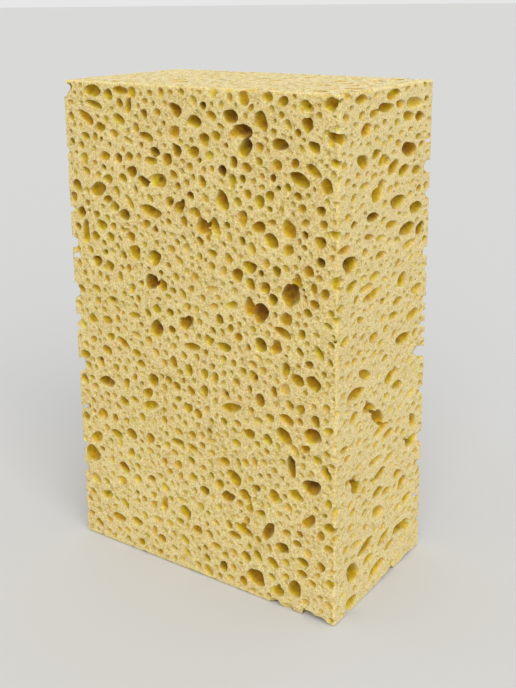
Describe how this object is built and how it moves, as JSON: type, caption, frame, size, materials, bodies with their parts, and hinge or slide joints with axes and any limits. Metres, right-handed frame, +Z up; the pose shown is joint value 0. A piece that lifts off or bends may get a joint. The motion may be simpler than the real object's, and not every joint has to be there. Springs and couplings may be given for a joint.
{
  "type": "cleaning sponge",
  "caption": "Rectangular open-pored cleaning sponge block that stands on its flat base.",
  "frame": {"origin": "middle of the base, where the standing block meets the surface", "axes": "+Z up along the height, +X across the front to the right, +Y from the front face to the back"},
  "size_m": [0.125, 0.07, 0.195],
  "materials": {
    "sponge_foam": "matt open-pored cellulose foam, pale straw, with ochre pores"
  },
  "bodies": {
    "root": {"sponge_block": "sponge_foam"}
  },
  "joints": []
}
